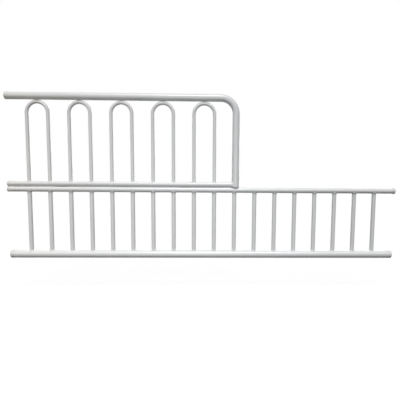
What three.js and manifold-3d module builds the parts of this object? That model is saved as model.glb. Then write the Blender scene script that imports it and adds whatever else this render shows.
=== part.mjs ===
// Folding bed guard rail in white powder-coated steel tube, in millimetres.
// X runs along the bed, Y goes from the open front to the hinge side and Z is up.
// The long lower panel is fixed to the bed. The shorter upper panel stands on its top bar,
// straight above it, and swings back and down about three hinges behind the two middle bars.
// The origin is at the bottom, in the middle of the length and of the depth.

import * as THREE from 'three';
import { mergeVertices } from 'three/addons/utils/BufferGeometryUtils.js';
import Module from 'manifold-3d';

const wasm = await Module();
wasm.setup();

// Clearances
const weldGap = 0.3;
const plugFit = 0.3;
const seatGap = 0.3;
const cutOverrun = 3;
const mergeDistance = 0.0005;

// Lower panel
const lowerBarLength = 1400;
const lowerBarRadius = 9.75;
const lowerBarWall = 1.5;
const bottomBarInset = 3;
const bottomBarRadius = 14;
const bottomBarWall = 1.5;
const barSpacing = 236;
const spindleCount = 18;
const spindleEndMargin = 76.2;
const spindleRadius = 7.5;
const spindleWall = 1.2;

// Upper panel
const loopCount = 5;
const upperBarRadius = 9.75;
const upperBarWall = 1.5;
const upperBarInset = 1;
const railHeight = 307.5;
const railRadius = 13.45;
const railWall = 1.6;
const railInset = 3.5;
const railBendRadius = 54;
const postClearance = 56.8;
const legRadius = 6.5;
const legWall = 1.2;

// Moulded end plugs
const plugStemLength = 16;
const barCapLength = 8;
const barCapEdge = 1.8;
const flangeLip = 1;
const flangeLength = 9.5;
const flangeEdge = 1.5;
const bottomCapLength = 13;
const bottomCapEdge = 4;
const footPadThickness = 5;
const footPadSaddle = 0.4;
const footPadEdge = 2;

// Hinges
const hingeBays = [1, 4, 7];
const knuckleRadius = 4.8;
const knuckleClearance = 0.5;
const foldedClearance = 1.6;
const lowerKnuckleLength = 18;
const upperKnuckleLength = 11;
const knuckleGap = 0.5;
const leafThickness = 2.2;
const leafClearance = 0.6;
const pinRadius = 2.5;
const pinFit = 0.3;
const pinHeadRadius = 4;
const pinHeadLength = 1.8;

// Sliding lock bolt in the rail's end
const bushLength = 12.5;
const bushEdge = 2.8;
const boltRadius = 5;
const boltTravel = 18;
const boltSetback = 1;
const boltTipEdge = 1.5;
const boltStopGap = 1;
const collarLength = 14;
const knobStemRadius = 3;
const knobStemDepth = 6;
const knobRadius = 6;
const knobLength = 8.5;
const knobEdge = 1.5;
const knobStandOff = 0.8;

// Angles, and the shares that place an edge between two others
const quarterTurn = Math.PI / 2;
const leafWrapShare = 0.42;

// Numbers of flat faces round each form
const barSides = 28;
const tubeSides = 14;
const boreSides = 16;
const bendSteps = 8;
const hairpinSteps = 8;
const arcSteps = 4;

// Places that follow from the sizes
const bottomBarLength = lowerBarLength - bottomBarInset * 2;
const spindlePitch = (lowerBarLength - spindleEndMargin * 2) / (spindleCount - 1);
const barAxisGap = lowerBarRadius + upperBarRadius + seatGap;
const foldedDepth = bottomBarRadius + foldedClearance + railRadius;
const pivotRise = lowerBarRadius + seatGap / 2;
const pivotReach = lowerBarRadius + weldGap + leafThickness + knuckleClearance + knuckleRadius;
const pivotBack = Math.max(foldedDepth / 2, Math.sqrt(pivotReach ** 2 - pivotRise ** 2));
const knobEnd = railRadius + knobStandOff + knobLength;
const depthMiddle = (knobEnd - bottomBarRadius) / 2;
const hairpinRadius = spindlePitch / 2;
const hairpinRise = railHeight - railRadius - seatGap - legRadius - hairpinRadius;
const upperBarEnd = upperBarInset - lowerBarLength / 2;
const railEnd = railInset - lowerBarLength / 2;
const lastLeg = spindlePlace(loopCount * 2 - 1);
const postPlace = lastLeg + legRadius + postClearance + railRadius;
const postFoot = footPadThickness - footPadSaddle - upperBarRadius;
const hingeLength = lowerKnuckleLength + (knuckleGap + upperKnuckleLength) * 2;

function spindlePlace(index) {
  return (index - (spindleCount - 1) / 2) * spindlePitch;
}

// Solids and booleans

function solidOf(geometry) {
  const bare = geometry.clone();
  bare.deleteAttribute('normal');
  bare.deleteAttribute('uv');
  const merged = mergeVertices(bare, mergeDistance);
  const corners = [];
  const index = merged.index.array;
  for (let i = 0; i < index.length; i += 3) {
    const [a, b, c] = [index[i], index[i + 1], index[i + 2]];
    if (a !== b && b !== c && c !== a) {
      corners.push(a, b, c);
    }
  }
  return new wasm.Manifold(new wasm.Mesh({
    numProp: 3,
    vertProperties: merged.attributes.position.array,
    triVerts: Uint32Array.from(corners),
  }));
}

function geometryOf(solid) {
  const mesh = solid.getMesh();
  const geometry = new THREE.BufferGeometry();
  geometry.setAttribute('position', new THREE.BufferAttribute(mesh.vertProperties, 3));
  geometry.setIndex(new THREE.BufferAttribute(mesh.triVerts, 1));
  geometry.computeVertexNormals();
  return geometry;
}

function cut(geometry, ...cutters) {
  let solid = solidOf(geometry);
  for (const cutter of cutters) {
    solid = solid.subtract(solidOf(cutter));
  }
  return geometryOf(solid);
}

function join(...geometries) {
  let solid = solidOf(geometries[0]);
  for (const geometry of geometries.slice(1)) {
    solid = solid.add(solidOf(geometry));
  }
  return geometryOf(solid);
}

// Outlines

function circlePoints(radius, sides) {
  const points = [];
  for (let i = 0; i < sides; i += 1) {
    const angle = (i / sides) * Math.PI * 2;
    points.push(new THREE.Vector2(Math.cos(angle) * radius, Math.sin(angle) * radius));
  }
  return points;
}

function disc(radius, sides) {
  return new THREE.Shape(circlePoints(radius, sides));
}

function ring(radius, wall, sides) {
  const shape = disc(radius, sides);
  shape.holes.push(new THREE.Path(circlePoints(radius - wall, sides)));
  return shape;
}

// A strip of plate that hugs a round bar from one angle to another.
function arcStrip(innerRadius, thickness, start, end) {
  const shape = new THREE.Shape();
  shape.absarc(0, 0, innerRadius + thickness, start, end, false);
  shape.absarc(0, 0, innerRadius, end, start, true);
  return shape;
}

// A slot with round ends, its length along X.
function slotOutline(travel, radius) {
  const shape = new THREE.Shape();
  shape.absarc(travel / 2, 0, radius, -quarterTurn, quarterTurn, false);
  shape.absarc(-travel / 2, 0, radius, quarterTurn, -quarterTurn, false);
  return shape;
}

// Extrusions and revolves

function extrude(shape, length) {
  const geometry = new THREE.ExtrudeGeometry(shape, {
    depth: length,
    bevelEnabled: false,
    curveSegments: arcSteps,
  });
  geometry.translate(0, 0, -length / 2);
  return geometry;
}

// The outline's own X and Y become the part's Y and Z, and its length runs along X.
function alongX(shape, length) {
  const turn = new THREE.Matrix4().makeBasis(
    new THREE.Vector3(0, 1, 0),
    new THREE.Vector3(0, 0, 1),
    new THREE.Vector3(1, 0, 0),
  );
  return extrude(shape, length).applyMatrix4(turn);
}

// A straight run up from the start, a round bend towards +X and a second straight run.
class BentPath extends THREE.Curve {
  constructor(firstRun, bendRadius, bendAngle, secondRun, steps) {
    super();
    Object.assign(this, { firstRun, bendRadius, bendAngle, secondRun, steps });
  }

  // One step lies on each straight run and the others share the bend.
  place(t) {
    const station = t * (this.steps + 2);
    const turned = Math.min(Math.max((station - 1) / this.steps, 0), 1) * this.bendAngle;
    const before = Math.min(station, 1) * this.firstRun;
    const after = Math.max(station - 1 - this.steps, 0) * this.secondRun;
    return { turned, before, after };
  }

  getPoint(t, target = new THREE.Vector3()) {
    const { turned, before, after } = this.place(t);
    const x = this.bendRadius * (1 - Math.cos(turned)) + after * Math.sin(turned);
    const z = before + this.bendRadius * Math.sin(turned) + after * Math.cos(turned);
    return target.set(x, 0, z);
  }

  getTangent(t, target = new THREE.Vector3()) {
    const { turned } = this.place(t);
    return target.set(Math.sin(turned), 0, Math.cos(turned));
  }

  getUtoTmapping(u) {
    return u;
  }
}

function bentTube(section, path) {
  return new THREE.ExtrudeGeometry(section, {
    steps: path.steps + 2,
    bevelEnabled: false,
    extrudePath: path,
  });
}

// A quarter-round edge on a revolved profile, from the side to the end face.
function roundedEdge(radius, height, edge) {
  const points = [];
  for (let i = 0; i <= arcSteps; i += 1) {
    const angle = (i / arcSteps) * quarterTurn;
    points.push(new THREE.Vector2(
      radius - edge + Math.cos(angle) * edge,
      height - edge + Math.sin(angle) * edge,
    ));
  }
  return points;
}

// Revolved plug for the end of a tube: a stem that fits inside and a head with a round edge.
function plug({ tubeRadius, wall, headRadius, headLength, edge, sides = barSides }) {
  const stemRadius = tubeRadius - wall - plugFit;
  return new THREE.LatheGeometry([
    new THREE.Vector2(0, -plugStemLength),
    new THREE.Vector2(stemRadius, -plugStemLength),
    new THREE.Vector2(stemRadius, seatGap),
    new THREE.Vector2(headRadius, seatGap),
    ...roundedEdge(headRadius, headLength, edge),
    new THREE.Vector2(0, headLength),
  ], sides);
}

// Materials and meshes

function powderCoat() {
  return new THREE.MeshStandardMaterial({ color: 0xe8e7e3, roughness: 0.42, metalness: 0 });
}

function mouldedPlastic() {
  return new THREE.MeshStandardMaterial({ color: 0xe2e0da, roughness: 0.5, metalness: 0 });
}

function platedSteel() {
  return new THREE.MeshStandardMaterial({ color: 0xb9bdc1, roughness: 0.3, metalness: 1 });
}

function addPiece(group, name, geometry, material, place = [0, 0, 0]) {
  const mesh = new THREE.Mesh(geometry, material);
  mesh.name = name;
  mesh.position.set(...place);
  group.add(mesh);
  return mesh;
}

// What a tube's end is shaped to: a bar with the gap that a weld closes.
function barClearance(radius) {
  return alongX(disc(radius + weldGap, barSides), lowerBarLength);
}

// Lower panel, its own origin on the bottom bar's axis

function straightBar(radius, wall, length) {
  return alongX(ring(radius, wall, barSides), length);
}

function spindleGeometry() {
  const tube = extrude(ring(spindleRadius, spindleWall, tubeSides), barSpacing);
  tube.translate(0, 0, barSpacing / 2);
  const below = barClearance(bottomBarRadius);
  const above = barClearance(lowerBarRadius).translate(0, 0, barSpacing);
  return cut(tube, below, above);
}

// A cap's axis turns from +Y to the way out of the bar's end: +1 is the right end.
function faceOut(geometry, side) {
  return geometry.rotateZ(-quarterTurn * side);
}

function addLowerBars(group) {
  const capSpan = barCapLength + flangeLength;
  const barLength = lowerBarLength - capSpan;
  const barMiddle = (barCapLength - flangeLength) / 2;
  const bar = straightBar(lowerBarRadius, lowerBarWall, barLength);
  addPiece(group, 'lower_top_bar', bar, powderCoat(), [barMiddle, 0, barSpacing]);

  const bottomLength = bottomBarLength - bottomCapLength * 2;
  const bottom = straightBar(bottomBarRadius, bottomBarWall, bottomLength);
  addPiece(group, 'bottom_bar', bottom, powderCoat());
}

function addLowerCaps(group) {
  const tube = { tubeRadius: lowerBarRadius, wall: lowerBarWall };
  const flush = plug({
    ...tube,
    headRadius: lowerBarRadius,
    headLength: barCapLength,
    edge: barCapEdge,
  });
  const flanged = plug({
    ...tube,
    headRadius: lowerBarRadius + flangeLip,
    headLength: flangeLength,
    edge: flangeEdge,
  });
  const half = lowerBarLength / 2;
  const leftPlace = [barCapLength - half, 0, barSpacing];
  const rightPlace = [half - flangeLength, 0, barSpacing];
  addPiece(group, 'lower_bar_cap_left', faceOut(flush, -1), mouldedPlastic(), leftPlace);
  addPiece(group, 'lower_bar_cap_right', faceOut(flanged, 1), mouldedPlastic(), rightPlace);
}

function addBottomCaps(group) {
  const place = bottomBarLength / 2 - bottomCapLength;
  for (const [name, side] of [['left', -1], ['right', 1]]) {
    const cap = plug({
      tubeRadius: bottomBarRadius,
      wall: bottomBarWall,
      headRadius: bottomBarRadius,
      headLength: bottomCapLength,
      edge: bottomCapEdge,
    });
    const piece = faceOut(cap, side);
    addPiece(group, `bottom_bar_cap_${name}`, piece, mouldedPlastic(), [place * side, 0, 0]);
  }
}

function addSpindles(group) {
  const spindle = spindleGeometry();
  for (let i = 0; i < spindleCount; i += 1) {
    const name = `spindle_${String(i + 1).padStart(2, '0')}`;
    addPiece(group, name, spindle.clone(), powderCoat(), [spindlePlace(i), 0, 0]);
  }
}

// Upper panel, its own origin on the upper bar's axis

function hairpinGeometry() {
  const path = new BentPath(hairpinRise, hairpinRadius, Math.PI, hairpinRise, hairpinSteps);
  const tube = bentTube(ring(legRadius, legWall, tubeSides), path);
  tube.translate(-hairpinRadius, 0, 0);
  return cut(tube, barClearance(upperBarRadius));
}

function addHairpins(group) {
  const hairpin = hairpinGeometry();
  for (let i = 0; i < loopCount; i += 1) {
    const middle = (spindlePlace(i * 2) + spindlePlace(i * 2 + 1)) / 2;
    addPiece(group, `loop_${i + 1}`, hairpin.clone(), powderCoat(), [middle, 0, 0]);
  }
}

function knobPlace() {
  return railEnd + bushLength + plugStemLength + boltTravel + boltStopGap + collarLength / 2;
}

// One bent tube makes the top rail and the post at its right end.
function topRailGeometry() {
  const postRun = railHeight - railBendRadius - postFoot;
  const railRun = postPlace - railBendRadius - railEnd - bushLength;
  const path = new BentPath(postRun, railBendRadius, quarterTurn, railRun, bendSteps);
  const tube = bentTube(ring(railRadius, railWall, barSides), path);
  tube.rotateZ(Math.PI);
  tube.translate(postPlace, 0, postFoot);

  const slotRadius = knobStemRadius + plugFit;
  const slot = extrude(slotOutline(boltTravel, slotRadius), railRadius + cutOverrun);
  slot.rotateX(quarterTurn);
  slot.translate(knobPlace() - boltTravel / 2, (railRadius + cutOverrun) / 2, railHeight);
  return cut(tube, slot);
}

function addUpperBar(group) {
  const start = upperBarEnd + barCapLength;
  const bar = straightBar(upperBarRadius, upperBarWall, postPlace - start);
  bar.translate((start + postPlace) / 2, 0, 0);
  const post = extrude(disc(railRadius + weldGap, barSides), railHeight);
  post.translate(postPlace, 0, 0);
  addPiece(group, 'upper_bar', cut(bar, post), powderCoat());

  const cap = plug({
    tubeRadius: upperBarRadius,
    wall: upperBarWall,
    headRadius: upperBarRadius,
    headLength: barCapLength,
    edge: barCapEdge,
  });
  addPiece(group, 'upper_bar_cap', faceOut(cap, -1), mouldedPlastic(), [start, 0, 0]);
}

// The moulded pad in the post's foot has a saddle that rests on the lower bar.
function addFootPad(group) {
  const pad = plug({
    tubeRadius: railRadius,
    wall: railWall,
    headRadius: railRadius,
    headLength: footPadThickness,
    edge: footPadEdge,
  });
  pad.rotateX(-quarterTurn);
  pad.translate(postPlace, 0, postFoot);
  const lowerBar = barClearance(lowerBarRadius).translate(0, 0, -barAxisGap);
  addPiece(group, 'post_foot_pad', cut(pad, lowerBar), mouldedPlastic());
}

// The bush closes the rail's end and guides the bolt.
function addRailBush(group) {
  const bore = boltRadius + plugFit;
  const stemRadius = railRadius - railWall - plugFit;
  const bush = new THREE.LatheGeometry([
    new THREE.Vector2(bore, -plugStemLength),
    new THREE.Vector2(stemRadius, -plugStemLength),
    new THREE.Vector2(stemRadius, seatGap),
    new THREE.Vector2(railRadius, seatGap),
    ...roundedEdge(railRadius, bushLength, bushEdge),
    new THREE.Vector2(bore, bushLength),
    new THREE.Vector2(bore, -plugStemLength),
  ], barSides);
  const place = [railEnd + bushLength, 0, railHeight];
  addPiece(group, 'rail_end_bush', faceOut(bush, -1), mouldedPlastic(), place);
}

// Lock bolt: a round bolt with a collar that slides inside the rail
function addLockBolt(group) {
  const tip = railEnd + boltSetback;
  const collarEnd = knobPlace() + collarLength / 2;
  const length = collarEnd - tip;
  const collarRadius = railRadius - railWall - plugFit;
  const rod = new THREE.LatheGeometry([
    new THREE.Vector2(0, 0),
    new THREE.Vector2(collarRadius, 0),
    new THREE.Vector2(collarRadius, collarLength),
    new THREE.Vector2(boltRadius, collarLength),
    new THREE.Vector2(boltRadius, length - boltTipEdge),
    new THREE.Vector2(boltRadius - boltTipEdge, length),
    new THREE.Vector2(0, length),
  ], boreSides);
  faceOut(rod, -1);
  rod.translate(collarEnd, 0, railHeight);

  const hole = extrude(disc(knobStemRadius + plugFit, boreSides), railRadius);
  hole.rotateX(quarterTurn);
  const holeBottom = collarRadius - knobStemDepth - plugFit;
  hole.translate(knobPlace(), holeBottom + railRadius / 2, railHeight);
  addPiece(group, 'lock_bolt', cut(rod, hole), platedSteel());
}

function addBoltKnob(group) {
  const stemEnd = railRadius - railWall - plugFit - knobStemDepth;
  const headStart = railRadius + knobStandOff;
  const knob = new THREE.LatheGeometry([
    new THREE.Vector2(0, stemEnd),
    new THREE.Vector2(knobStemRadius, stemEnd),
    new THREE.Vector2(knobStemRadius, headStart),
    new THREE.Vector2(knobRadius, headStart),
    ...roundedEdge(knobRadius, knobEnd, knobEdge),
    new THREE.Vector2(0, knobEnd),
  ], boreSides);
  addPiece(group, 'bolt_knob', knob, mouldedPlastic(), [knobPlace(), 0, railHeight]);
}

// Hinges behind the two middle bars

function knuckle(length) {
  return alongX(disc(knuckleRadius, boreSides), length);
}

function pinBore() {
  return alongX(disc(pinRadius + pinFit, boreSides), hingeLength + cutOverrun);
}

// One leaf: a strip round the back of its bar, and an arm that carries a knuckle at each place.
// The bar's axis is the leaf's own, and the seam between the two bars lies on its +Z side.
function leafGeometry(barRadius, stripLength, knuckleLength, knucklePlaces) {
  const stripRadius = barRadius + weldGap + leafThickness;
  const rise = barRadius + seatGap / 2;
  const start = -quarterTurn * leafWrapShare;
  const end = Math.asin((rise - leafClearance) / stripRadius);
  const strip = arcStrip(barRadius + weldGap, leafThickness, start, end);
  const pieces = [alongX(strip, stripLength)];

  const armStart = stripRadius - leafThickness / 2;
  const reach = Math.hypot(pivotBack, rise);
  const arm = new THREE.Shape([
    new THREE.Vector2(armStart, -leafThickness / 2),
    new THREE.Vector2(reach, -leafThickness / 2),
    new THREE.Vector2(reach, leafThickness / 2),
    new THREE.Vector2(armStart, leafThickness / 2),
  ]);
  for (const place of knucklePlaces) {
    const web = alongX(arm, knuckleLength).rotateX(Math.atan2(rise, pivotBack));
    pieces.push(web.translate(place, 0, 0));
    pieces.push(knuckle(knuckleLength).translate(place, pivotBack, rise));
  }
  return cut(join(...pieces), pinBore().translate(0, pivotBack, rise));
}

// The lower leaf has the middle knuckle.
function lowerLeafGeometry() {
  return leafGeometry(lowerBarRadius, lowerKnuckleLength, lowerKnuckleLength, [0]);
}

// The upper leaf hangs the other way round, with a knuckle on each side of the middle one.
function upperLeafGeometry() {
  const offset = (hingeLength - upperKnuckleLength) / 2;
  const leaf = leafGeometry(upperBarRadius, hingeLength, upperKnuckleLength, [-offset, offset]);
  return leaf.rotateY(Math.PI);
}

// A pin with a head at one end, and the other end spread after it is through.
function hingePinGeometry() {
  const half = hingeLength / 2 + seatGap;
  const pin = new THREE.LatheGeometry([
    new THREE.Vector2(0, -half - pinHeadLength),
    new THREE.Vector2(pinHeadRadius - pinHeadLength / 2, -half - pinHeadLength),
    new THREE.Vector2(pinHeadRadius, -half - pinHeadLength / 2),
    new THREE.Vector2(pinHeadRadius, -half),
    new THREE.Vector2(pinRadius, -half),
    new THREE.Vector2(pinRadius, half),
    new THREE.Vector2(pinHeadRadius, half),
    new THREE.Vector2(pinRadius, half + pinHeadLength),
    new THREE.Vector2(0, half + pinHeadLength),
  ], boreSides);
  return faceOut(pin, 1);
}

function addHinges(lowerGroup, upperGroup) {
  hingeBays.forEach((bay, i) => {
    const x = spindlePlace(bay) + spindlePitch / 2;
    const name = `hinge_${i + 1}`;
    const lowerPlace = [x, 0, barSpacing];
    const pinPlace = [x, pivotBack, barSpacing + pivotRise];
    addPiece(lowerGroup, `${name}_lower_leaf`, lowerLeafGeometry(), powderCoat(), lowerPlace);
    addPiece(upperGroup, `${name}_upper_leaf`, upperLeafGeometry(), powderCoat(), [x, 0, 0]);
    addPiece(lowerGroup, `${name}_pin`, hingePinGeometry(), platedSteel(), pinPlace);
  });
}

// Assembly

const guardRail = new THREE.Group();
const lowerPanel = new THREE.Group();
lowerPanel.position.set(0, -depthMiddle, bottomBarRadius);
const upperPanel = new THREE.Group();
upperPanel.position.set(0, -depthMiddle, bottomBarRadius + barSpacing + barAxisGap);
guardRail.add(lowerPanel, upperPanel);

addLowerBars(lowerPanel);
addLowerCaps(lowerPanel);
addBottomCaps(lowerPanel);
addSpindles(lowerPanel);

addPiece(upperPanel, 'top_rail', topRailGeometry(), powderCoat());
addUpperBar(upperPanel);
addHairpins(upperPanel);
addFootPad(upperPanel);
addRailBush(upperPanel);
addLockBolt(upperPanel);
addBoltKnob(upperPanel);

addHinges(lowerPanel, upperPanel);

export default guardRail;
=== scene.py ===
# %% [markdown]
# # A folding guard rail for a child's bed
# The real object is a long panel of white powder-coated steel tube, fixed to the side of the bed, and a
# shorter panel with five hairpin loops that stands on it and folds back and down behind it.
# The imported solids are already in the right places, with few flat faces. This lesson dresses them:
# each tube is drawn again as a smooth one in exactly the same place, the welds are added, and the
# paint, the moulded plugs and the plated steel get finishes that are made of nodes alone.

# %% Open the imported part
import math

import bmesh
import bpy
from mathutils import Matrix, Vector


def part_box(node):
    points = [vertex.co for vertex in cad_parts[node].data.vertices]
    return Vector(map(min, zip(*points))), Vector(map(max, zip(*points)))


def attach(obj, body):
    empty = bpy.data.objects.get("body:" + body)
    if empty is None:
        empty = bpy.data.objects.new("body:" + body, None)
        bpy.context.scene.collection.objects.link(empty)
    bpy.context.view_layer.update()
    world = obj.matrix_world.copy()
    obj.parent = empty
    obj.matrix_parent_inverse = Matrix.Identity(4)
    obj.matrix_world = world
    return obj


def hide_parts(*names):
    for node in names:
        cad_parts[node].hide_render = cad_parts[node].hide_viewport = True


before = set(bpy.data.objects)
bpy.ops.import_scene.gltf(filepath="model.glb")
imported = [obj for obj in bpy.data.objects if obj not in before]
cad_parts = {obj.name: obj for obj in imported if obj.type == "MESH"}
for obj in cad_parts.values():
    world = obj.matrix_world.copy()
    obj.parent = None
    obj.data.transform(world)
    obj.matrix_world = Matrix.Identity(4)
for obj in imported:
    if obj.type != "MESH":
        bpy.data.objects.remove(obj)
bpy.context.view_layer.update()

# %% [markdown]
# ## Measuring instead of remembering
# Every size below could be typed in again, but then it could drift away from the solids. A node's box
# gives the middle line and the radius of a round bar, so most sizes are read from there.

# %% Sizes that the solids give
MM = 0.001


def middle(node):
    low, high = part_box(node)
    return (low + high) / 2


def extent(node):
    low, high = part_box(node)
    return high - low


# The point at x on a line that runs from left to right, such as a bar's middle line.
def at_x(x, line):
    return Vector((x, line.y, line.z))


lower_bar = middle("lower_top_bar")
lower_bar_radius = extent("lower_top_bar").z / 2
bottom_bar = middle("bottom_bar")
bottom_bar_radius = extent("bottom_bar").z / 2
upper_bar = middle("upper_bar")
upper_bar_radius = extent("upper_bar").z / 2
spindle_radius = extent("spindle_01").x / 2
spindle_first = middle("spindle_01").x
spindle_pitch = middle("spindle_02").x - spindle_first
spindle_names = [f"spindle_{i + 1:02d}" for i in range(18)]
loop_names = [f"loop_{i + 1}" for i in range(5)]
rail_radius = extent("rail_end_bush").z / 2
rail_line = middle("rail_end_bush")
rail_back, rail_height = rail_line.y, rail_line.z
post_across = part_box("top_rail")[1].x - rail_radius
print("bar radii:", [round(r / MM, 2) for r in (lower_bar_radius, bottom_bar_radius, upper_bar_radius)])
print("spindles every", round(spindle_pitch / MM, 2), "mm, post at", round(post_across / MM, 2), "mm")

# %% [markdown]
# ## The camera
# The photograph was taken from a little above and a little to the right of the middle, from about a
# metre and a half away, which is why the upright bars lean outwards at the top. The camera's place and
# turn were fitted to where the bars, spindles and loops stand in the photograph. The small sideways
# shift does what a crop of a wider photograph does: the object's perspective is not centred.

# %% Camera
def aim_camera(place, yaw, pitch, roll):
    ahead = Vector((math.sin(yaw) * math.cos(pitch), math.cos(yaw) * math.cos(pitch), -math.sin(pitch)))
    level = Vector((math.cos(yaw), -math.sin(yaw), 0))
    upright = level.cross(ahead)
    right = level * math.cos(roll) + upright * math.sin(roll)
    top = upright * math.cos(roll) - level * math.sin(roll)
    turn = Matrix((right, top, -ahead)).transposed().to_4x4()
    return Matrix.Translation(place) @ turn


camera_data = bpy.data.cameras.new("camera")
camera_data.sensor_width = 36
camera_data.lens = 34.68
camera_data.shift_x = -0.0446
camera_data.shift_y = 0.0042
camera = bpy.data.objects.new("camera", camera_data)
camera.matrix_world = aim_camera(Vector((0.0097, -1.4, 0.3401)), yaw=0.0292, pitch=0.0946, roll=0.0078)
bpy.context.scene.collection.objects.link(camera)
bpy.context.scene.camera = camera
print("camera at", [round(v, 3) for v in camera.location])

# %% [markdown]
# ## A few words for writing node trees
# A node tree is easier to read as text when each node takes one line. `add` makes a node and fills its
# inputs: a socket, or a node's first output, is linked, and anything else is set. `calc` is a Math
# node, and `times`, `plus` and `minus` are the ones that are used most. `ramp` turns a range of values
# into 0 to 1. A tree's own inputs are declared in one dictionary, so that its sizes have names.

# %% Node helpers
SOCKETS = {
    "number": "NodeSocketFloat",
    "count": "NodeSocketInt",
    "place": "NodeSocketVector",
    "finish": "NodeSocketMaterial",
    "shape": "NodeSocketGeometry",
}


def add(tree, kind, wires=None, **settings):
    node = tree.nodes.new(kind)
    for name, value in settings.items():
        setattr(node, name, value)
    for name, value in (wires or {}).items():
        if isinstance(value, bpy.types.Node):
            value = value.outputs[0]
        if isinstance(value, bpy.types.NodeSocket):
            tree.links.new(value, node.inputs[name])
        else:
            node.inputs[name].default_value = value
    return node


def calc(tree, operation, first, second=0.0):
    return add(tree, "ShaderNodeMath", {0: first, 1: second}, operation=operation).outputs[0]


def times(tree, first, second):
    return calc(tree, "MULTIPLY", first, second)


def plus(tree, first, second):
    return calc(tree, "ADD", first, second)


def minus(tree, first, second):
    return calc(tree, "SUBTRACT", first, second)


def ramp(tree, value, low, high):
    return add(tree, "ShaderNodeMapRange", {
        "Value": value, "From Min": low, "From Max": high,
    }).outputs["Result"]


def split(tree, vector):
    return add(tree, "ShaderNodeSeparateXYZ", {"Vector": vector}).outputs


def start_tree(name, kind, inputs, outputs):
    tree = bpy.data.node_groups.new(name, kind)
    for way, sockets in (("INPUT", inputs), ("OUTPUT", outputs)):
        for label, socket in sockets.items():
            tree.interface.new_socket(label, in_out=way, socket_type=SOCKETS[socket])
    given = tree.nodes.new("NodeGroupInput").outputs
    return tree, given


def end_tree(tree, results):
    result = tree.nodes.new("NodeGroupOutput")
    for name, socket in results.items():
        tree.links.new(socket, result.inputs[name])
    print(tree.name, "has", len(tree.nodes), "nodes")
    return tree


# %% [markdown]
# ## Shared surface effects
# Powder coat is baked on as a dry powder that melts, so it is never quite flat: it has a fine orange
# peel, longer waves that bend the highlights, and a few dust nibs. Moulded plastic has a fine
# sparkle of its own, and both pick up faint scuffs where hands and bedding rub. These two effects are
# node groups, so that each finish can use them at its own scale.

# %% Uneven skin group
TONE_SIZE = 5.0
NIB_SIZE = 190.0
NIB_RANGE = (0.72, 0.78)
NIB_HEIGHT = 0.6


def noise(tree, place, scale, detail, roughness, **more):
    return add(tree, "ShaderNodeTexNoise", {
        "Vector": place, "Scale": scale, "Detail": detail, "Roughness": roughness, **more,
    }).outputs["Fac"]


def skin_group():
    tree, given = start_tree(
        "Uneven skin", "ShaderNodeTree",
        {"Place": "place", "Grain size": "number", "Wave size": "number", "Wave share": "number"},
        {"Height": "number", "Tone": "number", "Nibs": "number"},
    )
    grain = noise(tree, given["Place"], given["Grain size"], 2.0, 0.5)
    wave = noise(tree, given["Place"], given["Wave size"], 1.0, 0.4)
    tone = noise(tree, given["Place"], TONE_SIZE, 3.0, 0.55)
    nibs = ramp(tree, noise(tree, given["Place"], NIB_SIZE, 1.0, 0.5), *NIB_RANGE)
    height = plus(tree, grain, times(tree, wave, given["Wave share"]))
    height = plus(tree, height, times(tree, nibs, NIB_HEIGHT))
    return end_tree(tree, {"Height": height, "Tone": tone, "Nibs": nibs})


uneven_skin = skin_group()

# %% Light wear group
SCUFF_DRAW = (0.35, 1.0, 1.6)
SCUFF_RANGE = (0.56, 0.8)
DUST_PATCH_SIZE = 22.0
UPWARD_RANGE = (0.55, 1.0)


def wear_group():
    tree, given = start_tree(
        "Light wear", "ShaderNodeTree",
        {"Place": "place", "Scuff size": "number"},
        {"Scuffs": "number", "Dust": "number"},
    )
    drawn_out = add(tree, "ShaderNodeMapping", {"Vector": given["Place"], "Scale": SCUFF_DRAW})
    scuff = noise(tree, drawn_out.outputs["Vector"], given["Scuff size"], 6.0, 0.7, Distortion=0.6)
    facing = split(tree, add(tree, "ShaderNodeTexCoord").outputs["Normal"])["Z"]
    patch = noise(tree, given["Place"], DUST_PATCH_SIZE, 4.0, 0.6)
    dust = times(tree, ramp(tree, facing, *UPWARD_RANGE), patch)
    return end_tree(tree, {"Scuffs": ramp(tree, scuff, *SCUFF_RANGE), "Dust": dust})


light_wear = wear_group()

# %% [markdown]
# ## Three finishes
# White powder coat covers all the steel. A satin paint is mostly soft diffuse colour with a blurred
# highlight, so roughness sits near 0.3, and the tone moves a few parts in a hundred between warm and
# cool. Numbers that are the same all over are set on the shader itself and not through a node. The
# spindles get the same paint with a painted shade: a dark band close below the bar, where the bar's
# shadow falls on their heads.

# %% White powder coat
def colour_mix(tree, share, first, second):
    mix = add(tree, "ShaderNodeMix", {0: share, 6: first, 7: second}, data_type="RGBA")
    return mix.outputs[2]


def start_finish(name, grain, wave, wave_share, scuff):
    finish = bpy.data.materials.new(name)
    finish.use_nodes = True
    tree = finish.node_tree
    shader = tree.nodes["Principled BSDF"]
    place = add(tree, "ShaderNodeTexCoord").outputs["Object"]
    skin = add(tree, "ShaderNodeGroup", node_tree=uneven_skin, wires={
        "Place": place, "Grain size": grain, "Wave size": wave, "Wave share": wave_share,
    })
    wear = add(tree, "ShaderNodeGroup", {"Place": place, "Scuff size": scuff}, node_tree=light_wear)
    return finish, tree, shader, skin.outputs, wear.outputs


def set_roughness(tree, shader, tone, low, high, wear, wear_share):
    even = add(tree, "ShaderNodeMapRange", {"Value": tone, "To Min": low, "To Max": high})
    rough = plus(tree, even.outputs["Result"], times(tree, wear, wear_share))
    tree.links.new(rough, shader.inputs["Roughness"])


def raise_skin(tree, shader, height, strength, distance):
    bump = add(tree, "ShaderNodeBump", {"Height": height, "Strength": strength, "Distance": distance})
    tree.links.new(bump.outputs["Normal"], shader.inputs["Normal"])


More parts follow.
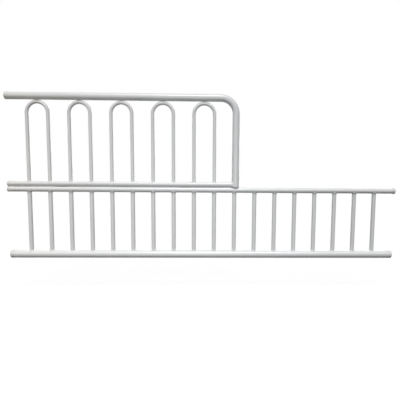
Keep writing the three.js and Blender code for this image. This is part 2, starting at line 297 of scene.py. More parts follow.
PAINT_WARM, PAINT_COOL = (0.72, 0.715, 0.70, 1), (0.78, 0.785, 0.79, 1)
PAINT_DUSTY, PAINT_NIB = (0.66, 0.64, 0.60, 1), (0.55, 0.54, 0.52, 1)
# Painted shade: the grey that the spindles' paint turns to just below the bar, where the bar's shadow
# falls.
PAINTED_SHADE_GREY = (0.34, 0.345, 0.35, 1)
SHADE_REACH, SHADE_SHARE = 10 * MM, 0.7


# Painted shade: the paint grows darker towards the bar's underside, standing in for the shadow that the
# bar casts on the spindles' heads.
def painted_bar_shade(tree, paint, corner):
    height = split(tree, add(tree, "ShaderNodeTexCoord").outputs["Object"])["Z"]
    near = ramp(tree, height, corner - SHADE_REACH, corner)
    share = times(tree, calc(tree, "POWER", near, 1.5), SHADE_SHARE)
    return colour_mix(tree, share, paint, PAINTED_SHADE_GREY)


def white_powder_coat(name, corner=None):
    finish, tree, shader, skin, wear = start_finish(
        name, grain=480.0, wave=38.0, wave_share=0.7, scuff=30.0,
    )
    paint = colour_mix(tree, skin["Tone"], PAINT_WARM, PAINT_COOL)
    paint = colour_mix(tree, times(tree, wear["Dust"], 0.12), paint, PAINT_DUSTY)
    paint = colour_mix(tree, times(tree, skin["Nibs"], 0.12), paint, PAINT_NIB)
    # Only the spindles get this painted shade below the bar.
    if corner is not None:
        paint = painted_bar_shade(tree, paint, corner)
    tree.links.new(paint, shader.inputs["Base Color"])
    set_roughness(tree, shader, skin["Tone"], 0.26, 0.34, wear["Scuffs"], 0.14)
    raise_skin(tree, shader, skin["Height"], strength=0.28, distance=0.2 * MM)
    return finish


powder_coat = white_powder_coat("white_powder_coat")
spindle_coat = white_powder_coat("white_powder_coat_on_spindles", lower_bar.z - lower_bar_radius)
print("made", powder_coat.name, "and", spindle_coat.name)

# %% [markdown]
# The plugs, the foot pad and the knob are moulded. Their plastic is a little greyer and warmer than
# the paint, duller, and has a finer grain from the mould's surface. The bolt and the hinge pins are
# zinc-plated: metal with a cloudy grey-blue tone and fine drawn lines.

# %% Moulded plastic and plated steel
PLASTIC_WARM, PLASTIC_PALE = (0.68, 0.67, 0.65, 1), (0.74, 0.735, 0.72, 1)
PLASTIC_SCUFFED = (0.62, 0.61, 0.59, 1)
ZINC_BLUE, ZINC_WARM = (0.52, 0.54, 0.57, 1), (0.66, 0.65, 0.62, 1)
ZINC_WORN = (0.40, 0.40, 0.41, 1)


def white_moulded_plastic():
    finish, tree, shader, skin, wear = start_finish(
        "white_moulded_plastic", grain=1400.0, wave=90.0, wave_share=0.8, scuff=60.0,
    )
    body = colour_mix(tree, skin["Tone"], PLASTIC_WARM, PLASTIC_PALE)
    body = colour_mix(tree, times(tree, wear["Scuffs"], 0.35), body, PLASTIC_SCUFFED)
    tree.links.new(body, shader.inputs["Base Color"])
    set_roughness(tree, shader, skin["Tone"], 0.48, 0.58, wear["Dust"], 0.1)
    raise_skin(tree, shader, skin["Height"], strength=0.25, distance=0.12 * MM)
    return finish


def zinc_plated_steel():
    finish, tree, shader, skin, wear = start_finish(
        "zinc_plated_steel", grain=900.0, wave=120.0, wave_share=0.6, scuff=140.0,
    )
    plating = colour_mix(tree, skin["Tone"], ZINC_BLUE, ZINC_WARM)
    plating = colour_mix(tree, times(tree, wear["Scuffs"], 0.6), plating, ZINC_WORN)
    tree.links.new(plating, shader.inputs["Base Color"])
    shader.inputs["Metallic"].default_value = 1.0
    set_roughness(tree, shader, skin["Tone"], 0.26, 0.42, wear["Scuffs"], 0.2)
    raise_skin(tree, shader, skin["Height"], strength=0.15, distance=0.1 * MM)
    return finish


moulded_plastic = white_moulded_plastic()
plated_steel = zinc_plated_steel()
print("made", moulded_plastic.name, "and", plated_steel.name)

# %% [markdown]
# ## From a tree to a plain piece
# A Geometry Nodes modifier is a recipe. Once its inputs are set, the evaluated result is copied into a
# plain mesh and the modifier goes, so that what is kept is one mesh with its place inside it. Then the
# solids that the piece replaces are hidden, the piece gets its finish, and it is hung on the body
# that carries it.

# %% Piece helpers
EDGE_ANGLE = math.radians(38)
SAME_PLACE = 1e-7


def plain_copy(piece):
    graph = bpy.context.evaluated_depsgraph_get()
    mesh = bpy.data.meshes.new_from_object(piece.evaluated_get(graph))
    piece.modifiers.clear()
    piece.data = mesh
    mesh.name = piece.name
    return piece


def new_object(name, mesh):
    piece = bpy.data.objects.new(name, mesh)
    bpy.context.scene.collection.objects.link(piece)
    return piece


def from_work(name, work):
    mesh = bpy.data.meshes.new(name)
    work.to_mesh(mesh)
    work.free()
    return new_object(name, mesh)


def follow_recipe(name, tree, values):
    piece = new_object(name, bpy.data.meshes.new(name))
    recipe = piece.modifiers.new("recipe", "NODES")
    recipe.node_group = tree
    for item in tree.interface.items_tree:
        if item.in_out == "INPUT" and item.name in values:
            recipe[item.identifier] = values[item.name]
    return plain_copy(piece)


def face_out(mesh):
    work = bmesh.new()
    work.from_mesh(mesh)
    bmesh.ops.remove_doubles(work, verts=work.verts, dist=SAME_PLACE)
    bmesh.ops.recalc_face_normals(work, faces=work.faces)
    work.to_mesh(mesh)
    work.free()


def one_finish(mesh, finish=None):
    finish = finish or [m for m in mesh.materials if m][-1]
    mesh.materials.clear()
    mesh.materials.append(finish)
    mesh.polygons.foreach_set("material_index", [0] * len(mesh.polygons))


def settle(piece, body, nodes=(), finish=None):
    face_out(piece.data)
    one_finish(piece.data, finish)
    piece.data.shade_smooth()
    piece.data.set_sharp_from_angle(angle=EDGE_ANGLE)
    if nodes:
        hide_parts(*nodes)
    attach(piece, body)
    print(piece.name, "rides", body, "with", len(piece.data.polygons), "faces")
    return piece


# %% [markdown]
# ## Straight tubes that fit round bars
# A spindle is a straight tube whose ends are notched to the curve of the bar they meet: along a bar
# of radius R, the notch at a distance y from the middle is as deep as R minus the root of R² - y².
# One recipe does that for any row of tubes. It starts from a cylinder one unit tall, moves each
# corner to its place between the two curved ends, and stands a copy at each point of a line. With a
# bar radius of 0 the end stays flat, so the long bars come from the same recipe, laid on their side.

# %% Recipe: row of fitted tubes
def bar_curve(tree, across, radius):
    left = minus(tree, times(tree, radius, radius), times(tree, across, across))
    return calc(tree, "SQRT", calc(tree, "MAXIMUM", left, 0.0))


def line_of(tree, count, first, pitch):
    return add(tree, "GeometryNodeMeshLine", {
        "Count": count, "Start Location": first, "Offset": pitch,
    })


def finish_shape(tree, shape, given):
    real = add(tree, "GeometryNodeRealizeInstances", {"Geometry": shape})
    done = add(tree, "GeometryNodeSetMaterial", {"Geometry": real, "Material": given["Finish"]})
    return end_tree(tree, {"Shape": done.outputs[0]})


def copies(tree, points, piece, **turn):
    return add(tree, "GeometryNodeInstanceOnPoints", {"Points": points, "Instance": piece, **turn})


def row_of(tree, given, piece, **turn):
    points = line_of(tree, given["Count"], given["First"], given["Pitch"])
    return copies(tree, points, piece, **turn)


def here(tree):
    return split(tree, add(tree, "GeometryNodeInputPosition"))


def joined(tree, **parts):
    return add(tree, "ShaderNodeCombineXYZ", parts)


ROW = {"Count": "count", "First": "place", "Pitch": "place", "Turn": "place", "Finish": "finish"}
SHAPE = {"Shape": "shape"}


def fitted_tube_recipe():
    tree, given = start_tree("Row of fitted tubes", "GeometryNodeTree", {
        **ROW, "Length": "number", "Tube radius": "number", "Sides": "count",
        "Low bar radius": "number", "High bar radius": "number",
    }, SHAPE)
    tube = add(tree, "GeometryNodeMeshCylinder", {
        "Vertices": given["Sides"], "Side Segments": 1, "Fill Segments": 3,
        "Radius": given["Tube radius"], "Depth": 1.0,
    }, fill_type="TRIANGLE_FAN")
    place = here(tree)
    low = bar_curve(tree, place["Y"], given["Low bar radius"])
    high = minus(tree, given["Length"], bar_curve(tree, place["Y"], given["High bar radius"]))
    rise = times(tree, minus(tree, high, low), plus(tree, place["Z"], 0.5))
    fitted = add(tree, "GeometryNodeSetPosition", {
        "Geometry": tube, "Position": joined(tree, X=place["X"], Y=place["Y"], Z=plus(tree, low, rise)),
    })
    return finish_shape(tree, row_of(tree, given, fitted, Rotation=given["Turn"]), given)


fitted_tubes = fitted_tube_recipe()

# %% Spindles and the three straight bars
ALONG_X = (0.0, math.pi / 2, 0.0)

spindles = follow_recipe("spindles", fitted_tubes, {
    "Count": len(spindle_names), "First": at_x(spindle_first, bottom_bar),
    "Pitch": (spindle_pitch, 0, 0), "Length": lower_bar.z - bottom_bar.z,
    "Tube radius": spindle_radius, "Sides": 40,
    "Low bar radius": bottom_bar_radius, "High bar radius": lower_bar_radius, "Finish": spindle_coat,
})
settle(spindles, "lower_panel", spindle_names)


def lay_bar(name, node, radius, body, post_radius=0.0):
    low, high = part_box(node)
    start = at_x(low.x, middle(node))
    end = post_across if post_radius else high.x
    bar = follow_recipe(name, fitted_tubes, {
        "Count": 1, "First": start, "Turn": ALONG_X, "Length": end - start.x,
        "Tube radius": radius, "Sides": 64, "High bar radius": post_radius, "Finish": powder_coat,
    })
    return settle(bar, body, [node])


lay_bar("lower_top_tube", "lower_top_bar", lower_bar_radius, "lower_panel")
lay_bar("bottom_tube", "bottom_bar", bottom_bar_radius, "lower_panel")
lay_bar("upper_panel_tube", "upper_bar", upper_bar_radius, "upper_panel", post_radius=rail_radius)

# %% [markdown]
# ## Bent tubes
# A tube bender turns a straight tube round a former, so a bent tube is a path of straight runs with
# round corners and one round section. Fillet Curve is exactly that former: the corners of the path are
# given as points, and the fillet's radius is the bender's. Where it is half the distance between the
# two legs, the two corners of a hairpin meet in one half circle.

# %% Recipe: row of bent tubes
def bent_tube_recipe():
    tree, given = start_tree("Row of bent tubes", "GeometryNodeTree", {
        **ROW, "Corners": "count", **{f"Corner {i + 1}": "place" for i in range(4)},
        "Bend radius": "number", "Bend steps": "count", "Tube radius": "number",
        "Sides": "count", "Foot bar radius": "number", "Foot reach": "number",
    }, SHAPE)
    switch = add(tree, "GeometryNodeIndexSwitch", data_type="VECTOR")
    switch.index_switch_items.new()
    switch.index_switch_items.new()
    tree.links.new(add(tree, "GeometryNodeInputIndex").outputs[0], switch.inputs["Index"])
    for i in range(4):
        tree.links.new(given[f"Corner {i + 1}"], switch.inputs[i + 1])
    corners = add(tree, "GeometryNodePoints", {"Count": given["Corners"], "Position": switch})
    path = add(tree, "GeometryNodePointsToCurves", {"Points": corners})
    bent = add(tree, "GeometryNodeFilletCurve", {
        "Curve": path, "Count": given["Bend steps"], "Radius": given["Bend radius"],
        "Limit Radius": True,
    }, mode="POLY")
    section = add(tree, "GeometryNodeCurvePrimitiveCircle", {
        "Resolution": given["Sides"], "Radius": given["Tube radius"],
    })
    tube = add(tree, "GeometryNodeCurveToMesh", {
        "Curve": bent, "Profile Curve": section, "Fill Caps": True,
    })
    place = here(tree)
    at_foot = add(
        tree, "FunctionNodeCompare", {0: place["Z"], 1: given["Foot reach"]}, operation="LESS_THAN",
    )
    notch = bar_curve(tree, place["Y"], given["Foot bar radius"])
    fitted = add(tree, "GeometryNodeSetPosition", {
        "Geometry": tube, "Selection": at_foot,
        "Position": joined(tree, X=place["X"], Y=place["Y"], Z=notch),
    })
    return finish_shape(tree, row_of(tree, given, fitted, Rotation=given["Turn"]), given)


bent_tubes = bent_tube_recipe()

# %% [markdown]
# The hairpins stand on the upper bar with both feet, and their tops stop just under the rail. The rail
# and the post are one tube: it comes down from the bend on to a moulded pad. The rail is hollow where
# a slot shows its inside, so its end is bored out and the slot for the bolt's knob is cut in the back.

# %% Hairpin loops
leg_radius = (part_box("loop_1")[1].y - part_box("loop_1")[0].y) / 2
hairpin_half = spindle_pitch / 2
hairpin_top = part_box("loop_1")[1].z - upper_bar.z - leg_radius
loop_pitch = middle("loop_2").x - middle("loop_1").x

loops = follow_recipe("hairpin_loops", bent_tubes, {
    "Count": len(loop_names), "First": at_x(middle("loop_1").x, upper_bar),
    "Pitch": (loop_pitch, 0, 0), "Corners": 4,
    "Corner 1": (-hairpin_half, 0, 0), "Corner 2": (-hairpin_half, 0, hairpin_top),
    "Corner 3": (hairpin_half, 0, hairpin_top), "Corner 4": (hairpin_half, 0, 0),
    "Bend radius": hairpin_half, "Bend steps": 16, "Tube radius": leg_radius, "Sides": 36,
    "Foot bar radius": upper_bar_radius, "Foot reach": 2 * MM, "Finish": powder_coat,
})
settle(loops, "upper_panel", loop_names)
print("hairpins are", round((hairpin_top + leg_radius) / MM, 1), "mm tall above the bar's middle")

# %% Cutting one mesh with another
def carve(piece, *cutters, operation="DIFFERENCE"):
    for cutter in cutters:
        face_out(cutter.data)
    face_out(piece.data)
    for cutter in cutters:
        step = piece.modifiers.new("carve", "BOOLEAN")
        step.operation = operation
        step.solver = "EXACT"
        step.object = cutter
    plain_copy(piece)
    for cutter in cutters:
        bpy.data.objects.remove(cutter)
    return piece


def stand_along(mesh, axis, place):
    turn = axis.to_track_quat("Z", "Y").to_matrix().to_4x4()
    mesh.transform(Matrix.Translation(place) @ turn)


def round_bar(name, start, end, radius, sides=48):
    run = end - start
    bar = follow_recipe(name, fitted_tubes, {
        "Count": 1, "Length": run.length, "Tube radius": radius, "Sides": sides, "Finish": powder_coat,
    })
    stand_along(bar.data, run, start)
    return bar


# %% Top rail with its post
bend_radius = 54 * MM
rail_wall = 1.6 * MM
post_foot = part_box("top_rail")[0].z
rail_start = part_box("top_rail")[0].x
knob = middle("bolt_knob")
slot_radius = 3.3 * MM
bolt_travel = 18 * MM

rail = follow_recipe("rail_and_post", bent_tubes, {
    "Count": 1, "First": (0, rail_back, 0), "Corners": 3,
    "Corner 1": (rail_start, 0, rail_height), "Corner 2": (post_across, 0, rail_height),
    "Corner 3": (post_across, 0, post_foot), "Bend radius": bend_radius, "Bend steps": 24,
    "Tube radius": rail_radius, "Sides": 64, "Finish": powder_coat,
})
bore_radius = rail_radius - rail_wall
bore_depth = 120 * MM
past_end = 4 * MM
slot_depth = rail_radius * 1.4
rail_bore = round_bar(
    "rail_bore", at_x(rail_start - past_end, rail_line),
    at_x(rail_start + bore_depth, rail_line), bore_radius,
)
slot_ends = [at_x(knob.x - travel, rail_line) for travel in (0, bolt_travel)]
slot_cutters = [
    round_bar("slot_end", end, end + Vector((0, slot_depth, 0)), slot_radius) for end in slot_ends
]
work = bmesh.new()
bmesh.ops.create_cube(work, size=1.0)
for corner in work.verts:
    corner.co = Vector((
        knob.x - bolt_travel / 2 + corner.co.x * bolt_travel,
        rail_back + slot_depth / 2 + corner.co.y * slot_depth,
        rail_height + corner.co.z * slot_radius * 2,
    ))
carve(rail, rail_bore, *slot_cutters, from_work("slot_middle", work))
settle(rail, "upper_panel", ["top_rail"], powder_coat)

# %% [markdown]
# ## Welds
# Where one tube meets another, a welder runs a bead round the joint. It follows the same curve as the
# notch, its width wavers, and it has small ripples where the pool froze. The recipe draws that curve,
# stands a copy at each joint, makes it real, and only then sets the bead's thickness from noise, so
# that no two beads are alike. The paint rounds them off, which is why the ripples stay shallow.

# %% Recipe: row of weld beads
BEAD = {"Bead radius": "number", "Unevenness": "number", "Seed": "number"}
WAVER_SIZE = 260.0
RIPPLE_DEPTH = 0.07


def wavering(tree, given, base):
    place = add(tree, "GeometryNodeInputPosition")
    drift = add(tree, "ShaderNodeTexNoise", {
        "Vector": place, "W": given["Seed"], "Scale": WAVER_SIZE, "Detail": 1.0,
    }, noise_dimensions="4D")
    waver = times(tree, minus(tree, drift.outputs["Fac"], 0.5), given["Unevenness"])
    return times(tree, base, plus(tree, waver, 1.0))


def swell_bead(tree, curve, scale, caps):
    section = add(tree, "GeometryNodeCurvePrimitiveCircle", {"Resolution": 10, "Radius": 1.0})
    return add(tree, "GeometryNodeCurveToMesh", {
        "Curve": curve, "Profile Curve": section, "Scale": scale, "Fill Caps": caps,
    })


def along_bead(tree, turn):
    return times(tree, add(tree, "GeometryNodeSplineParameter").outputs["Factor"], turn)


def real_row(tree, given, piece, **turn):
    row = row_of(tree, given, piece, **turn)
    return add(tree, "GeometryNodeRealizeInstances", {"Geometry": row})


def twin(tree, piece, gap):
    return copies(tree, line_of(tree, 2, (0, 0, 0), gap), piece)


def tapered(tree, given, swell):
    taper = plus(tree, times(tree, calc(tree, "SINE", along_bead(tree, math.pi)), swell), 1.0 - swell)
    return wavering(tree, given, times(tree, taper, given["Bead radius"]))


def weld_bead_recipe():
    tree, given = start_tree("Row of weld beads", "GeometryNodeTree", {
        **ROW, **BEAD, "Tube radius": "number", "Bar radius": "number",
        "Ripples": "number", "Steps": "count",
    }, SHAPE)
    outset = times(tree, given["Bead radius"], 0.2)
    ring = add(tree, "GeometryNodeCurvePrimitiveCircle", {
        "Resolution": given["Steps"], "Radius": plus(tree, given["Tube radius"], outset),
    })
    place = here(tree)
    rise = bar_curve(tree, place["Y"], plus(tree, given["Bar radius"], outset))
    joint = add(tree, "GeometryNodeSetPosition", {
        "Geometry": ring, "Position": joined(tree, X=place["X"], Y=place["Y"], Z=rise),
    })
    real = real_row(tree, given, joint, Rotation=given["Turn"])
    ripple = calc(tree, "SINE", times(tree, along_bead(tree, math.tau), given["Ripples"]))
    width = plus(tree, times(tree, ripple, RIPPLE_DEPTH), 1.0)
    scale = wavering(tree, given, times(tree, width, given["Bead radius"]))
    return finish_shape(tree, swell_bead(tree, real, scale, False), given)


weld_beads = weld_bead_recipe()

# %% Welds of the spindles, the legs and the post
UPSIDE_DOWN = (math.pi, 0.0, 0.0)
TOWARDS_LEFT = (0.0, -math.pi / 2, 0.0)


def weld_row(name, body, first, tube_radius, bar_radius, bead, seed, **more):
    beads = follow_recipe(name, weld_beads, {
        "Count": 1, "Pitch": (spindle_pitch, 0, 0), "Turn": (0, 0, 0), **more,
        "First": first, "Tube radius": tube_radius, "Bar radius": bar_radius, "Bead radius": bead,
        "Unevenness": 0.7, "Seed": seed, "Ripples": 15.0, "Steps": 60, "Finish": powder_coat,
    })
    return settle(beads, body)


weld_row(
    "spindle_foot_welds", "lower_panel", at_x(spindle_first, bottom_bar), spindle_radius,
    bottom_bar_radius, bead=1.6 * MM, seed=1.0, Count=len(spindle_names),
)
weld_row(
    "spindle_head_welds", "lower_panel", at_x(spindle_first, lower_bar), spindle_radius,
    lower_bar_radius, bead=1.2 * MM, seed=2.0, Count=len(spindle_names), Turn=UPSIDE_DOWN,
)
weld_row(
    "loop_foot_welds", "upper_panel", at_x(spindle_first, upper_bar), leg_radius,
    upper_bar_radius, bead=1.4 * MM, seed=3.0, Count=2 * len(loop_names),
)
weld_row(
    "post_weld", "upper_panel", (post_across, rail_back, upper_bar.z), upper_bar_radius,
    rail_radius, bead=2.2 * MM, seed=4.0, Turn=TOWARDS_LEFT, Ripples=22.0, Steps=96,
)

# %% [markdown]
# The top of a hairpin only touches the rail, so it is held by a short stroke of weld on each side of
# the contact. The stroke is thick in the middle and thin at its ends, and it bends a little more than
# the loop does, so that its thin ends lie on the loop and not in the air.

# %% Recipe: short strokes of weld
def short_line(tree, start, end, count):
    line = add(tree, "GeometryNodeCurvePrimitiveLine", {"Start": start, "End": end})
    return add(tree, "GeometryNodeResampleCurve", {"Curve": line, "Count": count})


def tack_weld_recipe():
    tree, given = start_tree("Short strokes of weld", "GeometryNodeTree", {
        **ROW, **BEAD, "Length": "number", "Loop radius": "number", "Side gap": "place",
    }, SHAPE)
    half = times(tree, given["Length"], 0.5)
    fine = short_line(tree, joined(tree, X=times(tree, half, -1.0)), joined(tree, X=half), 18)
    across = here(tree)["X"]
    drop = calc(tree, "DIVIDE", times(tree, across, across), times(tree, given["Loop radius"], -2.0))
    stroke = add(tree, "GeometryNodeSetPosition", {"Geometry": fine, "Offset": joined(tree, Z=drop)})
    real = real_row(tree, given, twin(tree, stroke, given["Side gap"]))
    return finish_shape(tree, swell_bead(tree, real, tapered(tree, given, 0.75), True), given)


tack_welds = tack_weld_recipe()
tack_side = 3.4 * MM
tack_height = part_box("loop_1")[1].z - 0.4 * MM
tacks = follow_recipe("loop_top_welds", tack_welds, {
    "Count": len(loop_names), "First": (middle("loop_1").x, rail_back - tack_side, tack_height),
    "Pitch": (loop_pitch, 0, 0), "Side gap": (0, 2 * tack_side, 0), "Length": 15 * MM,
    "Loop radius": 0.54 * (hairpin_half + leg_radius), "Bead radius": 1.5 * MM,
    "Unevenness": 0.6, "Seed": 5.0, "Finish": powder_coat,
})
settle(tacks, "upper_panel")

# %% [markdown]
# ## Turned and moulded pieces
# Plugs, bush, pins, bolt and knob are all round about one axis, so each is an outline turned about that
# axis. The outline is a list of distances from the axis and along it, and short arcs round its edges.
# Real plugs have a sink ring and a gate mark on their face, which catch a little light.

# %% Turning helper
ON_AXIS = 1e-9


def arc(radius_at, along_at, size, start, end, steps=6):
    points = []
    for i in range(steps + 1):
        angle = math.radians(start + (end - start) * i / steps)
        points.append((radius_at + size * math.cos(angle), along_at + size * math.sin(angle)))
    return points


def turned(name, outline, sides, axis, place):
    work = bmesh.new()
    rings = []
    for radius, along in outline:
        count = sides if radius > ON_AXIS else 1
        angles = [math.tau * i / count for i in range(count)]
        spots = [(radius * math.cos(a), radius * math.sin(a), along) for a in angles]
        rings.append([work.verts.new(spot) for spot in spots])
    closed = outline[0][0] > ON_AXIS
    pairs = list(zip(rings, rings[1:])) + ([(rings[-1], rings[0])] if closed else [])
    for low, high in pairs:
        for i in range(sides):
            j = i + 1
            corners = [low[i % len(low)], low[j % len(low)], high[j % len(high)], high[i % len(high)]]
            work.faces.new(list(dict.fromkeys(corners)))
    piece = from_work(name, work)
    stand_along(piece.data, axis, place)
    return piece


RIGHT = Vector((1, 0, 0))
LEFT = Vector((-1, 0, 0))
BACK = Vector((0, 1, 0))
DOWN = Vector((0, 0, -1))
seat_gap = 0.3 * MM
stem_length = 16 * MM

# %% End plugs
bar_wall = 1.5 * MM


def seat_of(stem, head):
    return [
        (stem - 0.6 * MM, -stem_length), (stem, -stem_length + 0.8 * MM),
        (stem, seat_gap), (head - 0.15 * MM, seat_gap), (head, seat_gap + 0.2 * MM),
    ]


def sunk_face(head, length):
    ring, ring_floor = head * 0.46, length - 0.25 * MM
    gate, gate_floor = 1.0 * MM, length - 0.3 * MM
    return [
        (ring + 0.5 * MM, length), (ring + 0.3 * MM, ring_floor), (ring - 0.3 * MM, ring_floor),
        (ring - 0.5 * MM, length), (gate, length), (gate - 0.2 * MM, gate_floor), (0, gate_floor),
    ]


def fit_plug(node, bar_radius, axis, length, edge, body):
    head = extent(node).z / 2
    place = middle(node) + axis * (extent(node).x / 2 - length)
    plug = turned(f"{node}_plug", [
        (0, -stem_length), *seat_of(bar_radius - bar_wall - seat_gap, head),
        *arc(head - edge, length - edge, edge, 0, 90, 10), *sunk_face(head, length),
    ], 56, axis, place)
    return settle(plug, body, [node], moulded_plastic)


fit_plug("lower_bar_cap_left", lower_bar_radius, LEFT, 8 * MM, 1.8 * MM, "lower_panel")
fit_plug("lower_bar_cap_right", lower_bar_radius, RIGHT, 9.5 * MM, 1.5 * MM, "lower_panel")
fit_plug("bottom_bar_cap_left", bottom_bar_radius, LEFT, 13 * MM, 4 * MM, "lower_panel")
fit_plug("bottom_bar_cap_right", bottom_bar_radius, RIGHT, 13 * MM, 4 * MM, "lower_panel")
fit_plug("upper_bar_cap", upper_bar_radius, LEFT, 8 * MM, 1.8 * MM, "upper_panel")

# %% Rail bush and foot pad
bush_length = 12.5 * MM
bush_bore = 5.3 * MM
bush_stem = bore_radius - seat_gap
bush_edge = 1.8 * MM
bush = turned("rail_bush", [
    (bush_bore, -stem_length), *seat_of(bush_stem, rail_radius),
    *arc(rail_radius - bush_edge, bush_length - bush_edge, bush_edge, 0, 90, 12),
    *arc(bush_bore + 0.5 * MM, bush_length - 0.5 * MM, 0.5 * MM, 90, 180, 4),
], 64, LEFT, at_x(rail_start, rail_line))
settle(bush, "upper_panel", ["rail_end_bush"], moulded_plastic)

pad_thickness = post_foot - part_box("post_foot_pad")[0].z
pad_edge = 2 * MM
pad = turned("foot_pad", [
    (0, -stem_length), (bush_stem, -stem_length), *seat_of(bush_stem, rail_radius)[2:],
    *arc(rail_radius - pad_edge, pad_thickness - pad_edge, pad_edge, 0, 90, 8), (0, pad_thickness),
], 64, DOWN, Vector((post_across, rail_back, post_foot)))
under_post = at_x(post_across, lower_bar)
cut_past = RIGHT * 30 * MM
saddle = round_bar(
    "saddle", under_post - cut_past, under_post + cut_past, lower_bar_radius + seat_gap, sides=96,
)
carve(pad, saddle)
settle(pad, "upper_panel", ["post_foot_pad"], moulded_plastic)

# %% Lock bolt
bolt_low, bolt_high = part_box("lock_bolt")
bolt_radius = 5 * MM
collar_radius = extent("lock_bolt").z / 2
collar_length = 14 * MM
bolt_length = bolt_high.x - bolt_low.x
chamfer, fillet, nose = 0.6 * MM, 0.8 * MM, 1.5 * MM
bolt = turned("sliding_bolt", [
    (0, 0), (collar_radius - chamfer, 0), (collar_radius, chamfer),
    (collar_radius, collar_length - chamfer), (collar_radius - chamfer, collar_length),
    *arc(bolt_radius + fillet, collar_length + fillet, fillet, 270, 180, 4),
    (bolt_radius, bolt_length - nose),
    *arc(bolt_radius - nose, bolt_length - nose, nose, 0, 90, 6), (0, bolt_length),
], 48, LEFT, at_x(bolt_high.x, rail_line))
settle(bolt, "lock_slide", ["lock_bolt"], plated_steel)

# %% [markdown]
# The knob is small and has to be moved with a fingertip, so it has grip ribs round it. Ribs are a
# repeated shape that follows a circle: one short rounded bar, copied on to the corners of a circle.

# %% Recipe: grip ribs, and the knob
def grip_rib_recipe():
    tree, given = start_tree("Ribs round a knob", "GeometryNodeTree", {
        "Count": "count", "Ring radius": "number", "Rib radius": "number",
        "Low": "place", "High": "place", "Finish": "finish",
    }, SHAPE)
    ring = add(tree, "GeometryNodeMeshCircle", {
        "Vertices": given["Count"], "Radius": given["Ring radius"],
    })
    fine = short_line(tree, given["Low"], given["High"], 7)
    round_ends = calc(tree, "SINE", along_bead(tree, math.pi))
    taper = calc(tree, "POWER", plus(tree, round_ends, 0.02), 0.35)
    rib = swell_bead(tree, fine, times(tree, taper, given["Rib radius"]), True)
    return finish_shape(tree, copies(tree, ring, rib), given)


grip_ribs = grip_rib_recipe()
knob_low, knob_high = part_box("bolt_knob")
knob_radius = extent("bolt_knob").x / 2
knob_head = rail_radius + 0.8 * MM
knob_end = knob_high.y - rail_back
knob_foot = knob_low.y - rail_back
knob_stem = 3 * MM
knob_edge = 1.4 * MM
rib_radius = 0.5 * MM
rib_ring = knob_radius - rib_radius
knob_piece = turned("knob", [
    (0, knob_foot), (knob_stem, knob_foot), (knob_stem, knob_head), (rib_ring - rib_radius, knob_head),
    *arc(rib_ring - rib_radius, knob_head + rib_radius, rib_radius, 270, 360, 4),
    *arc(rib_ring - knob_edge, knob_end - knob_edge, knob_edge, 0, 90, 8),
    (3.2 * MM, knob_end), (2.8 * MM, knob_end - 0.4 * MM), (0, knob_end - 0.7 * MM),
], 48, BACK, at_x(knob.x, rail_line))
settle(knob_piece, "lock_slide", ["bolt_knob"], moulded_plastic)
ribs = follow_recipe("knob_ribs", grip_ribs, {
    "Count": 18, "Ring radius": rib_ring, "Rib radius": rib_radius,
    "Low": (0, 0, knob_head + 0.9 * MM), "High": (0, 0, knob_end - 1.3 * MM), "Finish": moulded_plastic,
})
stand_along(ribs.data, BACK, at_x(knob.x, rail_line))
settle(ribs, "lock_slide")

# %% [markdown]
# ## Hinges
# The hinge axis lies behind the two bars, level with the seam between them, so both leaves have the
# same section. Each is a strip that hugs the back of its bar and a short arm to a knuckle: the lower
# leaf has the one in the middle and the upper leaf the two at the sides, all on one pin. A press bends
# the strip, so its edges are slightly round. Strips, arms and knuckles are made apart, with their
# edges eased, and then joined.

# %% Hinge geometry
hinge_names = [f"hinge_{i + 1}" for i in range(3)]
pin_middle = middle("hinge_1_pin")
pivot_back = pin_middle.y - lower_bar.y
knuckle_radius = 4.8 * MM
leaf_thickness = 2.2 * MM
leaf_gap = 0.3 * MM
pin_hole = 2.8 * MM
lower_width = extent("hinge_1_lower_leaf").x
arm_width = 11 * MM
upper_width = extent("hinge_1_upper_leaf").x
strip_radius = lower_bar_radius + leaf_gap + leaf_thickness
seam = pin_middle.z - lower_bar.z
strip_start = -math.radians(37.8)
seam_gap = 0.6 * MM
strip_end = math.asin((seam - seam_gap) / strip_radius)
print("hinge axis", round(pivot_back / MM, 2), "mm back and", round(seam / MM, 2), "mm above the bar")


# %% Pressed strips and rolled knuckles
def ease_edges(piece, edge):
    face_out(piece.data)
    bevel = piece.modifiers.new("ease", "BEVEL")
    bevel.width = edge
    bevel.segments = 2
    bevel.limit_method = "ANGLE"
    bevel.angle_limit = math.radians(50)
    return plain_copy(piece)


def pushed_outline(name, outline, width, centre):
    work = bmesh.new()
    sides = []
    for x in (-width / 2, width / 2):
        sides.append([work.verts.new((centre.x + x, centre.y + y, centre.z + z)) for y, z in outline])
    work.faces.new(sides[0])
    work.faces.new(list(reversed(sides[1])))
    for i in range(len(outline)):
        j = (i + 1) % len(outline)
        work.faces.new((sides[0][i], sides[0][j], sides[1][j], sides[1][i]))
    return from_work(name, work)


def strip(name, start, end, width, centre, steps=20):
    inner, outer = lower_bar_radius + leaf_gap, strip_radius
    angles = [start + (end - start) * i / steps for i in range(steps + 1)]
    outline = [(outer * math.cos(a), outer * math.sin(a)) for a in angles]
    outline += [(inner * math.cos(a), inner * math.sin(a)) for a in reversed(angles)]
    return ease_edges(pushed_outline(name, outline, width, centre), edge=0.5 * MM)


def knuckle(name, width, centre):
    low = Vector((centre.x - width / 2, centre.y, centre.z))
    edge = 0.5 * MM
    return turned(name, [
        (0, 0), *arc(knuckle_radius - edge, edge, edge, 270, 360, 3),
        *arc(knuckle_radius - edge, width - edge, edge, 0, 90, 3), (0, width),
    ], 48, RIGHT, low)


def pin_drill(x):
    centre = at_x(x, pin_middle)
    return round_bar("pin_drill", centre - cut_past, centre + cut_past, pin_hole)


